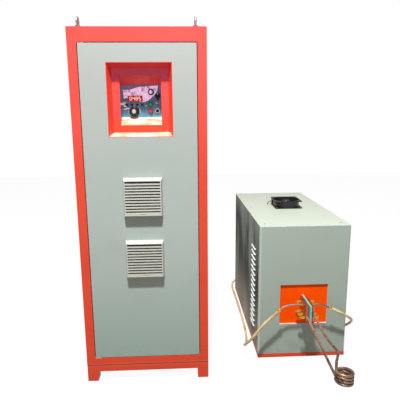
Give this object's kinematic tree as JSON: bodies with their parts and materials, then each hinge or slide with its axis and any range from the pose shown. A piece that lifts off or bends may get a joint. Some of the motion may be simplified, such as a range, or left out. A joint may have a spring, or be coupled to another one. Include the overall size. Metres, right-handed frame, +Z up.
{
  "type": "induction heating machine",
  "caption": "Induction heating machine: a red-framed power cabinet with a recessed control panel, and a low station that carries a water-cooled copper work coil.",
  "frame": {"origin": "on the floor, under the middle of the machine's bounding box without its hoses", "axes": "+X to the right seen from the front, from the cabinet to the station; +Y to the back; +Z up"},
  "size_m": [1.1627, 1.4349, 1.428],
  "materials": {
    "red_paint": "satin powder coat",
    "grey_green_paint": "satin powder coat",
    "station_paint": "satin powder coat",
    "steel": "zinc plated",
    "aluminium": "machined",
    "black_plastic": "moulded",
    "black_rubber": "matt",
    "panel_blue": "satin",
    "display_red": "dark smoked window",
    "label_film": "printed film left bare",
    "lamp_lens": "dark purple lens",
    "green_button": "lit green",
    "red_button": "lit red",
    "grille_plastic": "moulded",
    "copper": "worn bare copper",
    "brass": "turned",
    "teal_board": "laminate",
    "orange_board": "laminate",
    "cream_hose": "silicone, yellowed",
    "blue_case": "enamel",
    "board_green": "circuit board",
    "core_grey": "laminated core, varnished",
    "capacitor_beige": "resin case"
  },
  "bodies": {
    "root": {"frame_posts": "red_paint", "frame_rails": "red_paint", "base_plinth": "red_paint", "roof_panel": "red_paint", "side_panels": "grey_green_paint", "rear_panel": "grey_green_paint", "cabinet_floor": "steel", "lifting_eyes": "steel", "panel_screws": "steel", "pivot_pins": "steel", "mounting_plate": "steel", "circuit_breaker": "black_plastic", "contactor": "black_plastic", "cooling_plate": "aluminium", "power_modules": "black_plastic", "smoothing_capacitors": "blue_case", "inverter_board": "board_green", "rear_fittings": "brass", "station_base": "red_paint", "station_front_panel": "station_paint", "station_side_panels": "station_paint", "station_rear_panel": "station_paint", "station_lid": "station_paint", "terminal_board": "orange_board", "insulation_plate": "teal_board", "output_plates": "copper", "coil_plates": "copper", "clamp_studs": "brass", "work_coil": "copper", "coil_stubs": "copper", "hose_clamps": "brass", "left_hose": "cream_hose", "right_hose": "cream_hose", "top_fan_frame": "black_plastic", "fan_lead": "black_rubber", "transformer": "core_grey", "tank_capacitors": "capacitor_beige"},
    "door": {"front_door": "grey_green_paint", "door_seal": "black_rubber", "recess_surround": "red_paint", "control_box": "red_paint", "control_panel": "panel_blue", "led_display": "display_red", "panel_label": "label_film", "indicator_lamps": "lamp_lens", "switch_bodies": "black_plastic", "vent_bases": "grille_plastic", "vent_fan_frames": "black_plastic"},
    "power_knob": {"power_knob": "black_plastic"},
    "start_button": {"start_button": "green_button"},
    "stop_button": {"stop_button": "red_button"},
    "mode_selector": {"mode_selector": "black_plastic"},
    "handle_selector": {"handle_selector": "black_plastic"},
    "timer_knob": {"timer_knob": "black_plastic"},
    "upper_vent_grille": {"upper_vent_grille": "grille_plastic"},
    "lower_vent_grille": {"lower_vent_grille": "grille_plastic"},
    "upper_fan_impeller": {"upper_fan_impeller": "black_plastic"},
    "lower_fan_impeller": {"lower_fan_impeller": "black_plastic"},
    "breaker_lever": {"breaker_lever": "steel"},
    "top_fan_impeller": {"top_fan_impeller": "black_plastic"}
  },
  "joints": [
    {"name": "door_swing", "type": "hinge", "parent": "root", "child": "door", "pos_m": [-0.5245, -0.286, 0.72], "axis": [0, 0, -1], "range_deg": [0, 100]},
    {"name": "power_knob_turn", "type": "hinge", "parent": "door", "child": "power_knob", "pos_m": [-0.3461, -0.188, 1.097], "axis": [0, 1, 0], "range_deg": [0, 270]},
    {"name": "start_button_press", "type": "slide", "parent": "door", "child": "start_button", "axis": [0, 1, 0], "range_m": [0, 0.0025], "stiffness_N_per_m": 400},
    {"name": "stop_button_press", "type": "slide", "parent": "door", "child": "stop_button", "axis": [0, 1, 0], "range_m": [0, 0.0025], "stiffness_N_per_m": 400},
    {"name": "mode_selector_turn", "type": "hinge", "parent": "door", "child": "mode_selector", "pos_m": [-0.256, -0.188, 1.0985], "axis": [0, 1, 0], "range_deg": [0, 90]},
    {"name": "handle_selector_turn", "type": "hinge", "parent": "door", "child": "handle_selector", "pos_m": [-0.254, -0.188, 1.155], "axis": [0, 1, 0], "range_deg": [-45, 45]},
    {"name": "timer_knob_turn", "type": "hinge", "parent": "door", "child": "timer_knob", "pos_m": [-0.2795, -0.188, 1.1705], "axis": [0, 1, 0], "range_deg": [0, 270]},
    {"name": "upper_vent_grille_pull", "type": "slide", "parent": "door", "child": "upper_vent_grille", "axis": [0, -1, 0], "range_m": [0, 0.014]},
    {"name": "lower_vent_grille_pull", "type": "slide", "parent": "door", "child": "lower_vent_grille", "axis": [0, -1, 0], "range_m": [0, 0.014]},
    {"name": "upper_fan_impeller_spin", "type": "hinge", "parent": "door", "child": "upper_fan_impeller", "pos_m": [-0.3145, -0.261, 0.775], "axis": [0, 1, 0], "continuous": true},
    {"name": "lower_fan_impeller_spin", "type": "hinge", "parent": "door", "child": "lower_fan_impeller", "pos_m": [-0.3145, -0.261, 0.5295], "axis": [0, 1, 0], "continuous": true},
    {"name": "breaker_lever_switch", "type": "hinge", "parent": "root", "child": "breaker_lever", "pos_m": [-0.453, 0.2095, 1.2125], "axis": [-1, 0, 0], "range_deg": [0, 60]},
    {"name": "top_fan_impeller_spin", "type": "hinge", "parent": "root", "child": "top_fan_impeller", "pos_m": [0.3765, 0.25, 0.632], "axis": [0, 0, 1], "continuous": true}
  ]
}
